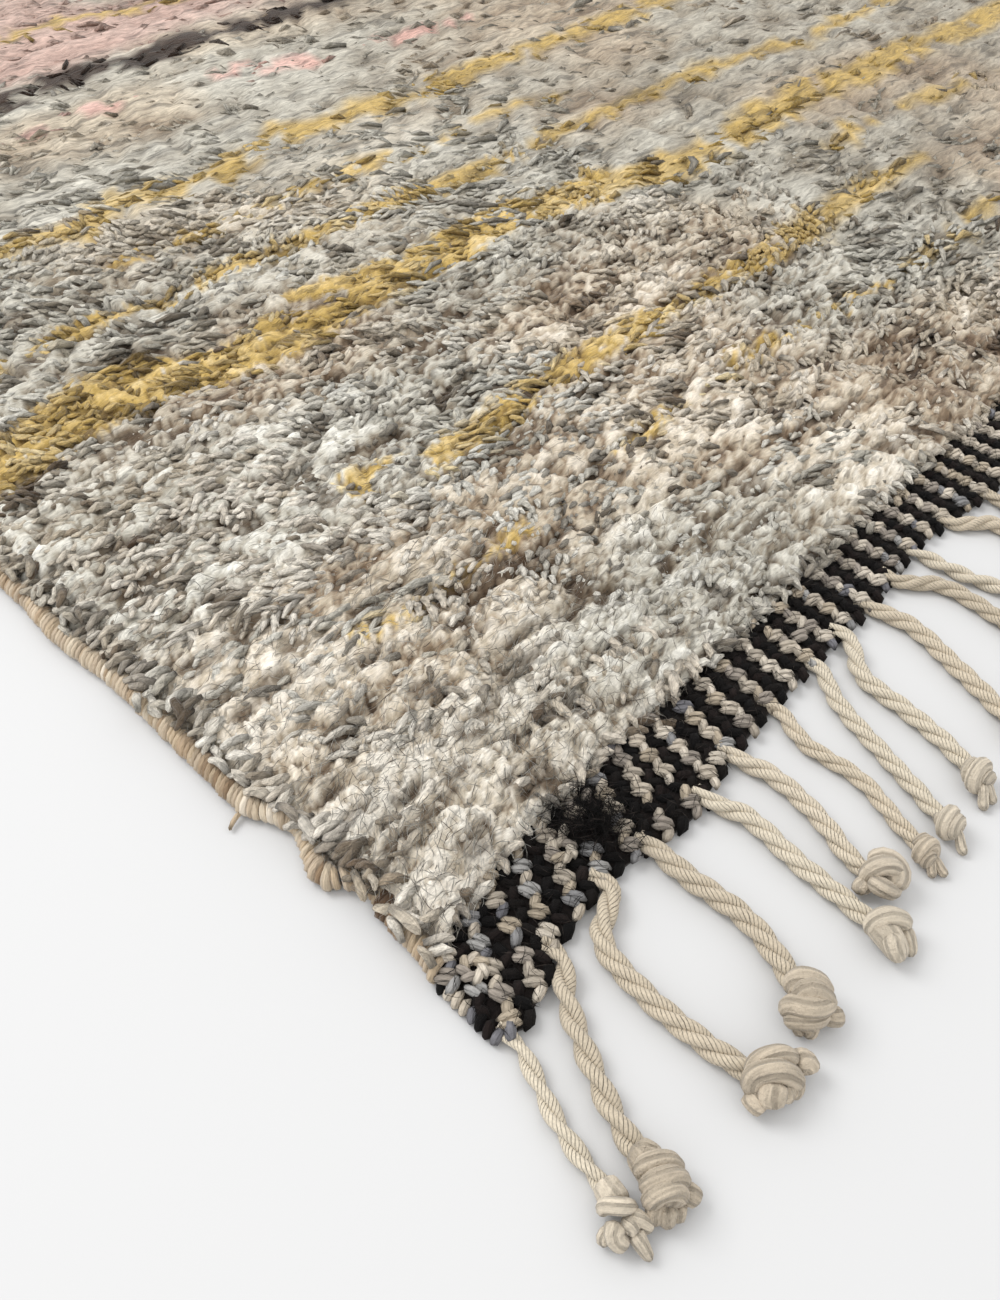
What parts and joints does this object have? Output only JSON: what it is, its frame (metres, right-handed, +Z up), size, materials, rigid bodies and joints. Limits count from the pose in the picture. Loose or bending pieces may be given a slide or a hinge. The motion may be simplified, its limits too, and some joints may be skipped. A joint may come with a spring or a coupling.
{
  "type": "hand-knotted wool pile rug",
  "caption": "Deep-pile wool floor rug with a heathered ground, thin wavering stripes, flat black and ivory end bands, overcast sides and a fringe of knotted cords.",
  "frame": {"origin": "middle of the rug's flat underside, half way across and half way along the woven cloth", "axes": "+X across the rug's width, +Y along its length, +Z up out of the pile"},
  "size_m": [1.7572, 2.6483, 0.0226],
  "materials": {
    "pile_wool": "undyed heathered grey and cream wool pile with mustard, rose and dark brown yarn lines, matt and soft",
    "edge_wool": "cream, peach and brown wool overcast closely round the edge warps, matt",
    "band_wool": "brown-black wool twined with ivory and grey yarn in zigzag columns, matt",
    "cord_yarn": "cream plied warp yarn twisted into ropes and knotted, matt"
  },
  "bodies": {
    "root": {"pile_field": "pile_wool", "selvedge_left": "edge_wool", "selvedge_right": "edge_wool", "end_band_near": "band_wool", "cord_fringe_near": "cord_yarn", "end_band_far": "band_wool", "cord_fringe_far": "cord_yarn"}
  },
  "joints": []
}
